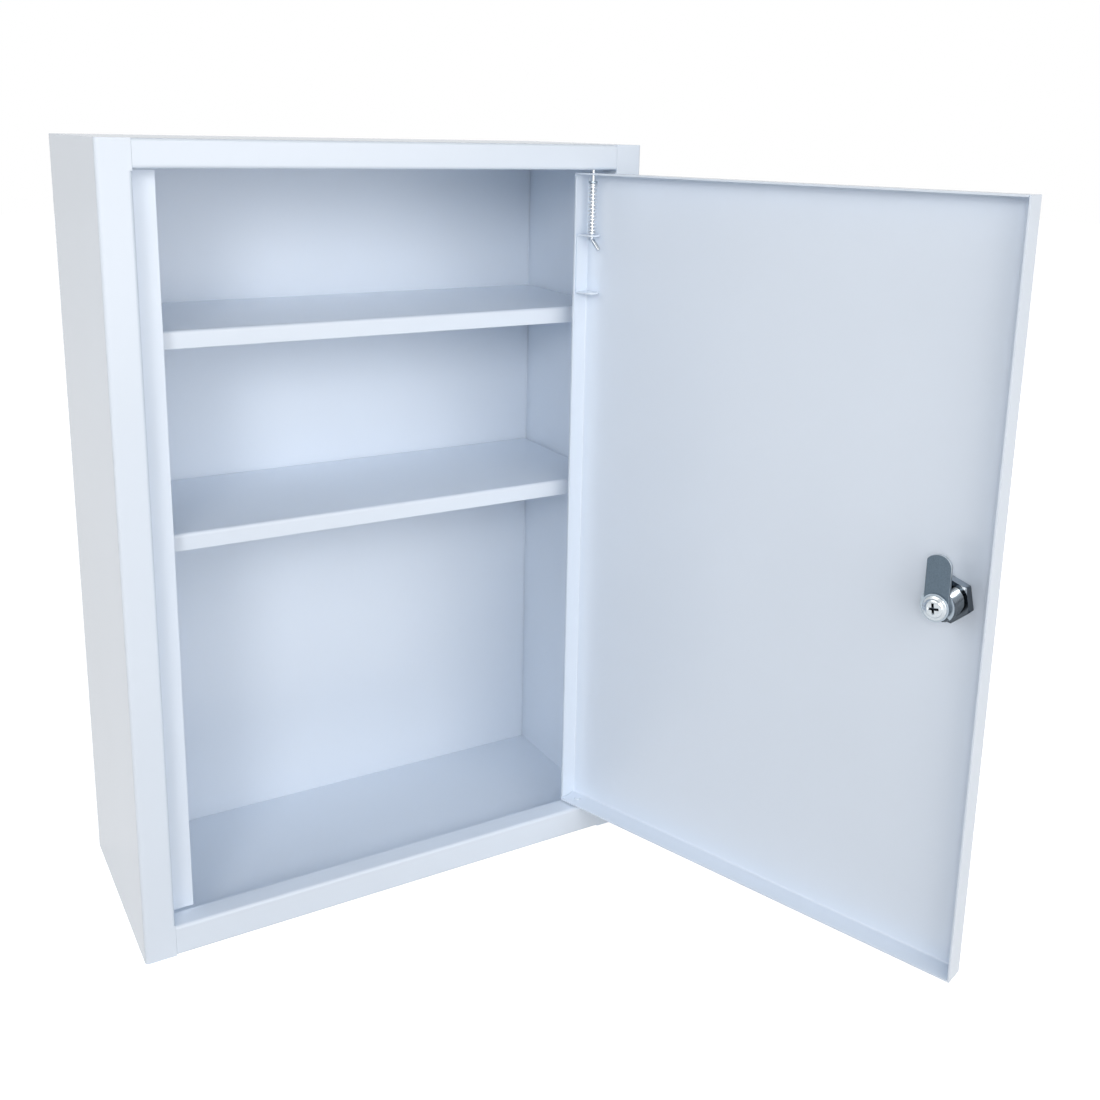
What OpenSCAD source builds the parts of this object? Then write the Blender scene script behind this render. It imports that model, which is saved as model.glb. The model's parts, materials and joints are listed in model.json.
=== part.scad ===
// Lockable steel medicine cabinet: a folded sheet body with two loose shelves and an inset door
// on two pins, with a cam lock. Millimetres. The origin is the centre of the base, +Z is up,
// +Y points to the wall and the door is on the -Y side, hinged on the +X side.

/* [Body] */
// Outside width
cabinet_w = 320; // [280:5:400]
// Outside height
cabinet_h = 460; // [430:5:600]
// Outside depth
cabinet_d = 140; // [120:5:200]
// Thickness of the body and door sheet
sheet = 1; // [0.8:0.1:1.2]
// Outside radius of every fold
fold_r = 2; // [1.5:0.1:2.5]

/* [Front frame] */
// Width of the two side flanges
side_flange = 17.5; // [15:0.5:25]
// Height of the top flange
top_flange = 15; // [14:0.5:25]
// Height of the bottom flange
bottom_flange = 18.5; // [16:0.5:25]
// Depth of the recess that the door closes into
recess_d = 15.5; // [15.5:0.5:18]
// Width of the lip that stops the door on the lock side
stop_lip = 14; // [10:0.5:18]
// Width of the turned edge behind the top and bottom flanges
edge_lip = 9; // [5:0.5:12]
// Width of the flanges that carry the back panel
rear_flange = 14; // [10:1:20]

/* [Shelves] */
// Height of the upper shelf's top face
upper_shelf_z = 358.5; // [330:1:380]
// Height of the lower shelf's top face
lower_shelf_z = 244; // [225:0.5:260]
// Distance from the body's front to the shelves' front edge
shelf_setback = 27; // [27:1:40]
// Height of the shelves' front lip
shelf_lip = 10; // [8:0.5:14]
// Gap between a shelf's end and the side panel
shelf_end_gap = 2; // [1:0.5:3]
// Leg of the angle strips that carry the shelves
support_leg = 10; // [8:1:12]
// Length of those strips
support_len = 90; // [60:5:95]

/* [Door] */
// Depth of the door pan
door_d = 15; // [13:0.5:15]
// Gap between the door and each side flange
door_side_gap = 2.5; // [2.5:0.1:4]
// Gap above the door
door_top_gap = 2; // [1.5:0.5:3]
// Gap below the door
door_bottom_gap = 1; // [1:0.1:2]
// Width of the turned edge along the hinge side
door_edge_lip = 1.5; // [1:0.5:4]
// Relief at both ends of that turned edge
lip_relief = 1.5; // [1:0.5:3]
// Distance from the door's hinge side to the pin axis
pin_inset = 9.5; // [9:0.5:11]
// Opening angle of the door in the rest pose
rest_open = 109; // [0:1:116]

/* [Hinge pins] */
// Diameter of the sprung upper pin
pin_d = 2.5; // [2:0.5:3]
// Diameter of the fixed lower pin
lower_pin_d = 4; // [3:0.5:5]
// Radial clearance of a pin in its holes
pin_clear = 0.08; // [0.05:0.01:0.1]
// Height of the bracket's upper ear
upper_ear_z = 405.5; // [395:0.5:410]
// Height of the bracket's lower ear
lower_ear_z = 369; // [355:0.5:372]
// Mean diameter of the pin's coil spring
spring_d = 4.4; // [4.4:0.1:5.6]
// Wire diameter of that spring
spring_wire = 1; // [0.8:0.1:1.1]
// Number of its turns
spring_turns = 15; // [10:1:16]

/* [Lock] */
// Distance from the door's hinge side to the lock axis
lock_inset = 255.5; // [200:0.5:257]
// Height of the lock axis
lock_z = 233; // [150:0.5:300]
// Diameter of the threaded housing
housing_d = 18.5; // [18:0.5:20]
// Width across the housing's two flats
housing_flats = 16; // [15:0.5:17]
// Diameter of the plug
plug_d = 13; // [12:0.5:13]
// Width across the flats of the lock nut
nut_flats = 22.5; // [21:0.5:24]
// Width of the cam
cam_w = 13.5; // [13:0.5:15]
// Distance from the lock axis to the cam's tip
cam_reach = 28.5; // [25:0.5:32]

/* [Wall fixing] */
// Diameter of the screw holes in the back panel
wall_hole_d = 7; // [5:0.5:8]
// Distance between the holes, side to side
wall_hole_dx = 200; // [100:10:220]
// Distance between the holes, up and down
wall_hole_dz = 130; // [100:5:140]
// Height of the upper pair
wall_hole_z = 344; // [340:1:350]

/* [Hidden] */
$fn = 64;
fold_steps = 4;
eps = 0.01;

// Finishes
powder_white = "#E8ECF1";
zinc = "#B9BDC1";
dark_zinc = "#6E7377";
nickel = "#D5D8DA";
brass = "#C9A85C";

// Body
half_w = cabinet_w / 2;
front_y = -cabinet_d / 2;
back_y = cabinet_d / 2;
recess_y = front_y + recess_d;
inner_x = half_w - sheet;
opening_x = half_w - side_flange;
// Butt gap between the side flanges and the top and bottom flanges
butt_gap = 0.1;
strip_x = opening_x - butt_gap;
// The return behind a side flange stops short of the top and bottom panels by this much
return_gap = 1;
// Corners of the flat plates are cut back, clear of the folds' inside radius
corner_cut = 1.5;
back_face_y = back_y - 2 * sheet;
shelf_rear_gap = 1;
// The support strips start this far behind a shelf's lip
support_inset = 10;

// Door, in its closed place
door_x = opening_x - door_side_gap;
door_z0 = bottom_flange + door_bottom_gap;
door_z1 = cabinet_h - top_flange - door_top_gap;
seam = 0.4;
pin_x = door_x - pin_inset;
pin_y = front_y + door_d / 2;

// Upper hinge
pin_top_z = cabinet_h - top_flange + 5;
pin_bend_z = upper_ear_z - sheet - 1.5;
pin_tail = 8.8;
pin_tail_angle = 42;
bracket_w = 10;
ear_len = 13.5;
collar_h = 1.2;
collar_r = 2.7;
// The pin rests with its collar this far below the door's top flange
collar_drop = 4;
collar_z = door_z1 - sheet - collar_drop - collar_h;
spring_gap = 0.05;
// Lower hinge
lower_pin_top_z = door_z0 + sheet + 0.6;
rivet_r = 3.6;
rivet_h = 1.5;
rivet_clear = 0.02;
washer_r = 5;

// Lock: its own Z is the lock axis, 0 at the door's outer face and positive into the cabinet,
// its X points to the door's free side and its Y points up
lock_x = door_x - lock_inset;
bezel_r = 11.5;
bezel_h = 3;
housing_end = 19.4;
plug_clear = 0.05;
plug_back = bezel_h + 0.3;
keyway_w = 2.3;
keyway_h = 8.2;
keyway_end = 14.6;
boss = 7;
boss_end = 22.2;
boss_gap = 0.05;
star_t = 0.8;
star_r = 10.9;
nut_t = 6;
nut_turn = 42;
wafer_count = 5;
wafer_pitch = 2.4;
wafer_t = 1;
wafer_w = 5;
wafer_h = 11.2;
wafer_gap = 0.1;
wafer_z0 = 1.4;
wafer_spring_x = 3.45;
stop_z = housing_end + 0.1;
stop_t = 0.8;
stop_r = 9.3;
stop_post_r = 0.9;
stop_track_r = 8.2;
stop_post_angle = 225;
cam_z = stop_z + stop_t + 0.1;
cam_t = 2;
cam_washer_t = 0.8;
cam_washer_r = 7.5;
screw_r = 2.1;
screw_head_r = 6.6;
screw_head_h = 2.2;
screw_flange_h = 0.7;
screw_crown_r = 4.9;
screw_crown_chamfer = 0.7;
screw_recess = [7.2, 1.4, 1.6];
screw_len = 6;
key_t = 2;
key_h = 7.8;
key_len = 17.3;
key_bow_r = 10;

// ---- Folded sheet -------------------------------------------------------------------------

function left_of(d) = [-d[1], d[0]];
function leg(path, i) = (path[i + 1] - path[i]) / norm(path[i + 1] - path[i]);
function reversed(list) = [for (i = [len(list) - 1 : -1 : 0]) list[i]];

// A closed outline with square corners, each rounded to its own radius; a radius of 0 stays sharp
function rounded(points, radii) = [
    for (i = [0 : len(points) - 1])
        let (
            n = len(points),
            before = points[i] - points[(i + n - 1) % n],
            after = points[(i + 1) % n] - points[i],
            a = before / norm(before),
            b = after / norm(after),
            r = radii[i],
            c = points[i] - a * r + b * r
        )
        each r == 0
            ? [points[i]]
            : [for (s = [0 : fold_steps])
                let (t = 90 * s / fold_steps) c + r * (a * sin(t) - b * cos(t))]
];

// The section of a sheet folded along path, which gives the sharp corners of its show face.
// side is 1 where the thickness lies to the left of the path and -1 where it lies to the right.
function folded(path, side) =
    let (
        last = len(path) - 1,
        inward = [for (i = [1 : 1 : last - 1])
            cross(leg(path, i - 1), leg(path, i)) * side > 0],
        hidden_face = [for (i = [0 : last])
            path[i] + side * sheet * (
                (i > 0 ? left_of(leg(path, i - 1)) : [0, 0])
                + (i < last ? left_of(leg(path, i)) : [0, 0]))],
        show_r = concat([0], [for (x = inward) x ? fold_r : fold_r - sheet], [0]),
        hidden_r = concat([0], [for (x = inward) x ? fold_r - sheet : fold_r], [0])
    )
    rounded(concat(path, reversed(hidden_face)), concat(show_r, reversed(hidden_r)));

// Extrudes a section drawn in Y and Z from x0 to x1
module along_x(x0, x1) {
    translate([x0, 0, 0]) rotate([90, 0, 90]) linear_extrude(x1 - x0) children();
}

// Extrudes a section drawn in X and Y from z0 to z1
module along_z(z0, z1) {
    translate([0, 0, z0]) linear_extrude(z1 - z0) children();
}

// ---- Body ---------------------------------------------------------------------------------

// The side section runs from the rear flange round the front flange, its return and the stop lip
side_path = [
    [-half_w + rear_flange, back_y],
    [-half_w, back_y],
    [-half_w, front_y],
    [-opening_x, front_y],
    [-opening_x, recess_y],
    [-opening_x + stop_lip, recess_y]
];

function first(list, count) = [for (i = [0 : count - 1]) list[i]];

module side_panel(return_points) {
    low = bottom_flange + return_gap;
    high = cabinet_h - top_flange - return_gap;
    flange_only = folded(first(side_path, 4), 1);
    along_z(0, low) polygon(flange_only);
    along_z(low, high) polygon(folded(first(side_path, return_points), 1));
    along_z(high, cabinet_h) polygon(flange_only);
}

module side_panel_left() {
    color(powder_white) side_panel(6);
}

// The hinge side has no stop lip, because the door's edge swings through its place
module side_panel_right() {
    color(powder_white) mirror([1, 0, 0]) side_panel(5);
}

// The flat plate that closes the body between the side panels; its middle starts behind the fold
module end_plate(z) {
    fold_y = front_y + fold_r;
    y0 = front_y + sheet;
    y1 = back_y - sheet;
    c = corner_cut;
    x = strip_x;
    translate([0, 0, z]) linear_extrude(sheet) polygon([
        [-inner_x + c, y0], [-x - butt_gap, y0], [-x - butt_gap, fold_y], [x + butt_gap, fold_y],
        [x + butt_gap, y0], [inner_x - c, y0], [inner_x, y0 + c], [inner_x, y1 - c],
        [inner_x - c, y1], [-inner_x + c, y1], [-inner_x, y1 - c], [-inner_x, y0 + c]
    ]);
}

module top_panel() {
    flange_z = cabinet_h - top_flange;
    path = [
        [back_y - sheet, cabinet_h],
        [front_y, cabinet_h],
        [front_y, flange_z],
        [recess_y, flange_z],
        [recess_y, flange_z + edge_lip]
    ];
    color(powder_white) difference() {
        union() {
            along_x(-strip_x, strip_x) polygon(folded(path, 1));
            end_plate(cabinet_h - sheet);
        }
        translate([pin_x, pin_y, flange_z - 1]) cylinder(r = pin_d / 2 + pin_clear, h = sheet + 2);
    }
}

module bottom_panel() {
    path = [
        [back_y - sheet, 0],
        [front_y, 0],
        [front_y, bottom_flange],
        [recess_y, bottom_flange],
        [recess_y, bottom_flange - edge_lip]
    ];
    color(powder_white) difference() {
        union() {
            along_x(-strip_x, strip_x) polygon(folded(path, -1));
            end_plate(0);
        }
        translate([pin_x, pin_y, bottom_flange - sheet - 1])
            cylinder(r = lower_pin_d / 2 + rivet_clear, h = sheet + 2);
    }
}

module back_panel() {
    w = 2 * (inner_x - corner_cut);
    color(powder_white) difference() {
        translate([-w / 2, back_face_y, sheet]) cube([w, sheet, cabinet_h - 2 * sheet]);
        for (x = [-wall_hole_dx / 2, wall_hole_dx / 2], z = [wall_hole_z - wall_hole_dz, wall_hole_z])
            translate([x, back_face_y - 1, z]) rotate([-90, 0, 0]) cylinder(d = wall_hole_d, h = sheet + 2);
    }
}

// ---- Shelves ------------------------------------------------------------------------------

// An angle strip on the left side panel, flush under a shelf whose top face is at z
module support(z) {
    y0 = front_y + shelf_setback + support_inset;
    path = [
        [-inner_x + support_leg, z - sheet],
        [-inner_x, z - sheet],
        [-inner_x, z - sheet - support_leg]
    ];
    translate([0, y0 + support_len, 0]) rotate([90, 0, 0])
        linear_extrude(support_len) polygon(folded(path, 1));
}

module support_upper_left() {
    color(powder_white) support(upper_shelf_z);
}

module support_upper_right() {
    color(powder_white) mirror([1, 0, 0]) support(upper_shelf_z);
}

module support_lower_left() {
    color(powder_white) support(lower_shelf_z);
}

module support_lower_right() {
    color(powder_white) mirror([1, 0, 0]) support(lower_shelf_z);
}

module shelf(z) {
    end_x = inner_x - shelf_end_gap;
    lip_y = front_y + shelf_setback;
    path = [[back_face_y - shelf_rear_gap, z], [lip_y, z], [lip_y, z - shelf_lip]];
    color(powder_white) along_x(-end_x, end_x) polygon(folded(path, 1));
}

module shelf_upper() {
    shelf(upper_shelf_z);
}

module shelf_lower() {
    shelf(lower_shelf_z);
}

// ---- Lower hinge --------------------------------------------------------------------------

module lower_hinge_pin() {
    chamfer = 0.5;
    under = bottom_flange - sheet;
    color(powder_white) translate([pin_x, pin_y, 0]) {
        translate([0, 0, under - rivet_h]) cylinder(r1 = rivet_r - 1, r2 = rivet_r, h = rivet_h);
        translate([0, 0, under]) cylinder(d = lower_pin_d, h = lower_pin_top_z - chamfer - under);
        translate([0, 0, lower_pin_top_z - chamfer])
            cylinder(d1 = lower_pin_d, d2 = lower_pin_d - 2 * chamfer, h = chamfer);
    }
}

module lower_hinge_washer() {
    color(zinc) translate([pin_x, pin_y, bottom_flange]) difference() {
        cylinder(r = washer_r, h = door_bottom_gap - 0.1);
        translate([0, 0, -1]) cylinder(r = lower_pin_d / 2 + pin_clear, h = door_bottom_gap + 2);
    }
}

// ---- Door ---------------------------------------------------------------------------------

// Turns the closed door about its pins to the rest pose
module on_door() {
    translate([pin_x, pin_y, 0]) rotate([0, 0, rest_open]) translate([-pin_x, -pin_y, 0]) children();
}

// The pan's outline from above and from the side, inset is 0 for its outside and sheet for its
// inside, and open lets the inside run out through the back of the pan
function pan_plan(inset) =
    let (x = door_x - inset, y0 = front_y + inset, r = fold_r - inset, back = front_y + door_d)
    inset == 0
        ? rounded([[-x, back], [-x, y0], [x, y0], [x, back]], [0, r, r, r])
        : rounded(
            [[-x, back + 1], [-x, y0], [x, y0], [x, back - sheet],
             [x - door_edge_lip, back - sheet], [x - door_edge_lip, back + 1]],
            [0, r, r, r, 0, 0]);

function pan_side(inset) =
    let (y0 = front_y + inset, z0 = door_z0 + inset, z1 = door_z1 - inset, r = fold_r - inset,
         back = front_y + door_d + (inset == 0 ? 0 : 1))
    rounded([[back, z0], [back, z1], [y0, z1], [y0, z0]], [0, 0, r, r]);

module pan(inset) {
    intersection() {
        along_z(door_z0 - 1, door_z1 + 1) polygon(pan_plan(inset));
        along_x(-door_x - 1, door_x + 1) polygon(pan_side(inset));
    }
}

// The slit where a top or bottom flange meets a side flange
module corner_seam(x, z) {
    translate([x - seam / 2, front_y + fold_r + 1, z - sheet]) cube([seam, door_d, 2 * sheet]);
}

module door_panel() {
    color(powder_white) on_door() difference() {
        pan(0);
        pan(sheet);
        for (x = [-door_x + sheet + seam / 2, door_x - sheet - seam / 2], z = [door_z0, door_z1])
            corner_seam(x, z);
        for (z = [door_z0 + sheet, door_z1 - sheet - lip_relief])
            translate([door_x - sheet - door_edge_lip, front_y + door_d - 2 * sheet, z])
                cube([door_edge_lip, 3 * sheet, lip_relief]);
        translate([pin_x, pin_y, door_z1 - sheet - 1]) cylinder(r = pin_d / 2 + pin_clear, h = sheet + 2);
        translate([pin_x, pin_y, door_z0 - 1]) cylinder(r = lower_pin_d / 2 + pin_clear, h = sheet + 2);
        in_lock() translate([0, 0, -1]) linear_extrude(sheet + 2) housing_section(0.15);
    }
}

// ---- Upper hinge --------------------------------------------------------------------------

module pin_bracket() {
    base_x = door_x - sheet;
    tip_x = base_x - ear_len;
    path = [[tip_x, upper_ear_z], [base_x, upper_ear_z], [base_x, lower_ear_z], [tip_x, lower_ear_z]];
    color(powder_white) on_door() difference() {
        intersection() {
            translate([0, pin_y + bracket_w / 2, 0]) rotate([90, 0, 0])
                linear_extrude(bracket_w) polygon(folded(path, -1));
            along_z(lower_ear_z - 1, upper_ear_z + 1) union() {
                translate([tip_x + bracket_w / 2, pin_y]) circle(d = bracket_w);
                translate([tip_x + bracket_w / 2, pin_y - bracket_w / 2]) square([ear_len, bracket_w]);
            }
        }
        translate([pin_x, pin_y, lower_ear_z - 1])
            cylinder(r = pin_d / 2 + pin_clear, h = upper_ear_z - lower_ear_z + 2);
    }
}

// A straight pin whose lower end is bent out as a finger pull
module hinge_pin() {
    color(zinc) on_door() translate([pin_x, pin_y, 0]) {
        translate([0, 0, pin_top_z - 0.6]) cylinder(d1 = pin_d, d2 = pin_d - 1.2, h = 0.6);
        translate([0, 0, pin_bend_z]) cylinder(d = pin_d, h = pin_top_z - 0.6 - pin_bend_z);
        translate([0, 0, pin_bend_z]) {
            sphere(d = pin_d, $fn = 32);
            rotate([0, 180 + pin_tail_angle, 0]) cylinder(d = pin_d, h = pin_tail);
        }
    }
}

module pin_collar() {
    color(zinc) on_door() translate([pin_x, pin_y, collar_z]) difference() {
        cylinder(r = collar_r, h = collar_h);
        translate([0, 0, -1]) cylinder(d = pin_d, h = collar_h + 2);
    }
}

// A tube of wire swept along a coil whose first and last turns lie close
function coil_height(turn, turns, wire, height) =
    turn < 1 ? wire * turn
    : turn > turns - 1 ? height - wire * (turns - turn)
    : wire + (height - 2 * wire) * (turn - 1) / (turns - 2);

module coil(mean_r, wire, turns, height, steps, sides) {
    travel = height - wire;
    count = turns * steps;
    rings = [for (i = [0 : count])
        let (turn = i / steps, a = 360 * turn, z = wire / 2 + coil_height(turn, turns, wire, travel))
        [for (k = [0 : sides - 1])
            let (b = 360 * k / sides, r = mean_r + wire / 2 * cos(b))
            [r * cos(a), r * sin(a), z + wire / 2 * sin(b)]]];
    polyhedron(
        points = [for (ring = rings) each ring],
        faces = concat(
            [[for (k = [0 : sides - 1]) k]],
            [for (i = [0 : count - 1], k = [0 : sides - 1])
                let (here = i * sides, next = here + sides, k2 = (k + 1) % sides)
                each [[here + k, next + k, next + k2], [here + k, next + k2, here + k2]]],
            [[for (k = [sides - 1 : -1 : 0]) count * sides + k]]
        )
    );
}

module pin_spring() {
    height = collar_z - upper_ear_z - 2 * spring_gap;
    color(nickel) on_door() translate([pin_x, pin_y, upper_ear_z + spring_gap])
        coil(spring_d / 2, spring_wire, spring_turns, height, 16, 8);
}

// ---- Lock ---------------------------------------------------------------------------------

// Places the lock's own axes on the closed door
module in_lock() {
    translate([lock_x, front_y, lock_z]) rotate([90, 0, 180]) children();
}

// The housing's section: round with two level flats, above and below, grown by extra
module housing_section(extra) {
    intersection() {
        circle(r = housing_d / 2 + extra);
        square([housing_d + 4, housing_flats + 2 * extra], center = true);
    }
}

module lock_housing() {
    groove_w = wafer_w + 0.4;
    groove_h = housing_flats - 1.6;
    groove_end = wafer_z0 + wafer_count * wafer_pitch;
    color(nickel) on_door() in_lock() difference() {
        union() {
            translate([0, 0, -bezel_h]) cylinder(r1 = bezel_r - 1, r2 = bezel_r, h = 1);
            translate([0, 0, 1 - bezel_h]) cylinder(r = bezel_r, h = bezel_h - 1);
            linear_extrude(housing_end) housing_section(0);
            rotate([0, 0, stop_post_angle]) translate([stop_track_r, 0, housing_end - 1])
                cylinder(r = stop_post_r, h = stop_t + 1);
        }
        translate([0, 0, -bezel_h - 1]) cylinder(r = plug_d / 2 + plug_clear, h = housing_end + bezel_h + 2);
        translate([-groove_w / 2, -groove_h / 2, wafer_z0 - 0.5]) cube([groove_w, groove_h, groove_end]);
    }
}

module lock_washer() {
    teeth = 12;
    color(zinc) on_door() in_lock() translate([0, 0, sheet]) difference() {
        cylinder(r = star_r, h = star_t);
        translate([0, 0, -1]) cylinder(r = housing_d / 2 + 0.1, h = star_t + 2);
        for (i = [0 : teeth - 1])
            rotate([0, 0, 360 * i / teeth]) translate([star_r - 0.8, -0.6, -1]) cube([2, 1.2, star_t + 2]);
    }
}

module lock_nut() {
    corner_r = nut_flats / 2 / cos(30);
    color(nickel) on_door() in_lock() translate([0, 0, sheet + star_t]) difference() {
        intersection() {
            rotate([0, 0, nut_turn]) cylinder(r = corner_r, h = nut_t, $fn = 6);
            cylinder(r1 = corner_r + nut_t, r2 = nut_flats / 2 + 0.3, h = nut_t + eps);
        }
        translate([0, 0, -1]) cylinder(r = housing_d / 2 + 0.05, h = nut_t + 2);
    }
}

module lock_plug() {
    slot_t = wafer_t + 2 * wafer_gap;
    slot_w = wafer_w + 2 * wafer_gap;
    color(nickel) on_door() in_lock() difference() {
        union() {
            translate([0, 0, -plug_back]) cylinder(d = plug_d, h = plug_back + housing_end);
            translate([-boss / 2, -boss / 2, housing_end]) cube([boss, boss, boss_end - housing_end]);
        }
        translate([-keyway_w / 2, -keyway_h / 2, -plug_back - 1])
            cube([keyway_w, keyway_h, plug_back + keyway_end + 1]);
        for (i = [0 : wafer_count - 1])
            translate([0, 0, wafer_z0 + i * wafer_pitch]) {
                translate([-slot_w / 2, -plug_d, 0]) cube([slot_w, 2 * plug_d, slot_t]);
                translate([0, -2.4, 0]) cube([wafer_spring_x + 0.9, 5, slot_t]);
            }
        translate([0, 0, boss_end - screw_len]) cylinder(r = screw_r, h = screw_len + 1);
    }
}

// Five flat wafers with a window for the key and a side tab that sits on its spring
module lock_wafers() {
    color(brass) on_door() in_lock()
        for (i = [0 : wafer_count - 1])
            translate([0, 0, wafer_z0 + wafer_gap + i * wafer_pitch]) difference() {
                union() {
                    translate([-wafer_w / 2, -wafer_h / 2, 0]) cube([wafer_w, wafer_h, wafer_t]);
                    translate([0, 1.2, 0]) cube([wafer_spring_x + 0.7, 1, wafer_t]);
                }
                translate([-keyway_w / 2, -keyway_h / 2, -1]) cube([keyway_w, keyway_h, wafer_t + 2]);
            }
}

module wafer_springs() {
    color(nickel) on_door() in_lock()
        for (i = [0 : wafer_count - 1])
            translate([wafer_spring_x, -2.3, wafer_z0 + wafer_gap + wafer_t / 2 + i * wafer_pitch])
                rotate([-90, 0, 0]) coil(0.35, 0.2, 5, 3.4, 10, 5);
}

// Turns with the plug; the housing's post in its gap lets it turn a quarter
module lock_stop_plate() {
    steps = 22;
    half_post = asin(stop_post_r / stop_track_r) + 1;
    gap_from = stop_post_angle - half_post;
    gap_to = stop_post_angle + 90 + half_post;
    hub_r = stop_track_r - stop_post_r - 0.2;
    outline = concat(
        [for (i = [0 : steps]) let (a = gap_to - 360 + (gap_from + 360 - gap_to) * i / steps)
            stop_r * [cos(a), sin(a)]],
        [for (i = [0 : steps]) let (a = gap_from + (gap_to - gap_from) * i / steps)
            hub_r * [cos(a), sin(a)]]
    );
    color(zinc) on_door() in_lock() translate([0, 0, stop_z]) linear_extrude(stop_t) difference() {
        polygon(outline);
        square(boss + 2 * boss_gap, center = true);
    }
}

function arc(centre, r, from, to, steps) =
    [for (i = [0 : steps]) let (a = from + (to - from) * i / steps) centre + r * [cos(a), sin(a)]];

// Points up when unlocked; its leading side, towards the door's free edge, is fully rounded
module lock_cam() {
    half = cam_w / 2;
    tail_r = half + 1.8;
    corner_r = 1.5;
    corner_angle = 180 - acos((half - corner_r) / (tail_r - corner_r));
    corner_y = cam_reach - tail_r + (tail_r - corner_r) * sin(corner_angle);
    outline = concat(
        arc([0, 0], half, 180, 360, 24),
        arc([0, cam_reach - half], half, 0, 90, 12),
        arc([0, cam_reach - tail_r], tail_r, 90, corner_angle, 6),
        arc([corner_r - half, corner_y], corner_r, corner_angle, 180, 4)
    );
    color(dark_zinc) on_door() in_lock() translate([0, 0, cam_z]) linear_extrude(cam_t) difference() {
        polygon(outline);
        square(boss + 2 * boss_gap, center = true);
    }
}

module cam_washer() {
    color(zinc) on_door() in_lock() translate([0, 0, cam_z + cam_t]) difference() {
        cylinder(r = cam_washer_r, h = cam_washer_t);
        translate([0, 0, -1]) cylinder(r = screw_r + 0.3, h = cam_washer_t + 2);
    }
}

// A pan-head screw with a crossed recess
module cam_screw() {
    head_z = cam_z + cam_t + cam_washer_t;
    shank = head_z - boss_end + screw_len - 1;
    top_r = screw_crown_r - screw_crown_chamfer;
    color(nickel) on_door() in_lock() translate([0, 0, head_z]) difference() {
        union() {
            translate([0, 0, -shank]) cylinder(r = screw_r, h = shank);
            cylinder(r = screw_head_r, h = screw_flange_h);
            cylinder(r = screw_crown_r, h = screw_head_h - screw_crown_chamfer);
            translate([0, 0, screw_head_h - screw_crown_chamfer])
                cylinder(r1 = screw_crown_r, r2 = top_r, h = screw_crown_chamfer);
        }
        for (turn = [0, 90])
            rotate([0, 0, turn])
                translate([-screw_recess.x / 2, -screw_recess.y / 2, screw_head_h - screw_recess.z])
                    cube(screw_recess + [0, 0, 1]);
    }
}

// Flat key: notched blade, shoulder and round bow with a ring hole
module key() {
    shoulder_z = -plug_back - 0.3;
    neck = 3;
    bow_z = shoulder_z - neck - key_bow_r + 1.5;
    color(nickel) on_door() in_lock() difference() {
        union() {
            translate([-key_t / 2, -key_h / 2, shoulder_z]) cube([key_t, key_h, key_len]);
            translate([-key_t / 2, -5, shoulder_z - neck]) cube([key_t, 10, neck]);
            translate([-key_t / 2, 0, bow_z]) rotate([0, 90, 0]) cylinder(r = key_bow_r, h = key_t);
        }
        translate([-key_t, 0, bow_z - 3]) rotate([0, 90, 0]) cylinder(r = 3, h = 2 * key_t);
        for (i = [0 : wafer_count - 1])
            translate([-key_t, key_h / 2 - 0.6 - 0.5 * (i % 3), wafer_z0 + i * wafer_pitch])
                cube([2 * key_t, 3, 1.3]);
    }
}

side_panel_left();
side_panel_right();
top_panel();
bottom_panel();
back_panel();
support_upper_left();
support_upper_right();
support_lower_left();
support_lower_right();
shelf_upper();
shelf_lower();
lower_hinge_pin();
lower_hinge_washer();
door_panel();
pin_bracket();
hinge_pin();
pin_collar();
pin_spring();
lock_housing();
lock_washer();
lock_nut();
lock_plug();
lock_wafers();
wafer_springs();
lock_stop_plate();
lock_cam();
cam_washer();
cam_screw();
key();
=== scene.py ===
import json
import math

import bmesh
import bpy
from bpy.props import FloatProperty, FloatVectorProperty, IntProperty, PointerProperty
from bpy.types import Operator, Panel, PropertyGroup
from mathutils import Matrix, Vector

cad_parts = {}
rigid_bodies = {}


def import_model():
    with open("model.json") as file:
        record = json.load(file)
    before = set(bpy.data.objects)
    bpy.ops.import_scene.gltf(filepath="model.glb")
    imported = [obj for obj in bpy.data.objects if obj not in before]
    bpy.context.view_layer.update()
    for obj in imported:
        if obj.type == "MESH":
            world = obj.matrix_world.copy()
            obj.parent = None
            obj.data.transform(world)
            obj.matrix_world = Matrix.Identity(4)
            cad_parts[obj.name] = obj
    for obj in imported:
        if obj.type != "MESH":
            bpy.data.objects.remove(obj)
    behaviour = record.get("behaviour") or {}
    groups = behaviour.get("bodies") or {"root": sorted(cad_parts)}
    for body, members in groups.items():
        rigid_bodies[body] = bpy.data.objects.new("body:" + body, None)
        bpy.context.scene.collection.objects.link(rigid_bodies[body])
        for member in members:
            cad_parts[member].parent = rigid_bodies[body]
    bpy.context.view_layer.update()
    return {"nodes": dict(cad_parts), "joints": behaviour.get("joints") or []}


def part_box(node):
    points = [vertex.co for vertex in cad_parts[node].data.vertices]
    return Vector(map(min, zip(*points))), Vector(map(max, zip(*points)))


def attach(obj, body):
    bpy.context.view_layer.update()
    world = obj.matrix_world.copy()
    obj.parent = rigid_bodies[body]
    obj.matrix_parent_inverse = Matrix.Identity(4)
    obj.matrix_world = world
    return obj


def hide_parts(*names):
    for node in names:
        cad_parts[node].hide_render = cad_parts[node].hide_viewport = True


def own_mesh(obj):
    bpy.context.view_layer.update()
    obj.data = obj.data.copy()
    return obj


bl_info = {
    "name": "Medicine Cabinet",
    "version": (1, 0, 0),
    "blender": (4, 5, 0),
    "location": "3D View > Sidebar > Cabinet",
    "description": "Finishes and small hardware of a folded steel medicine cabinet with a cam lock",
    "category": "Object",
}

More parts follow.
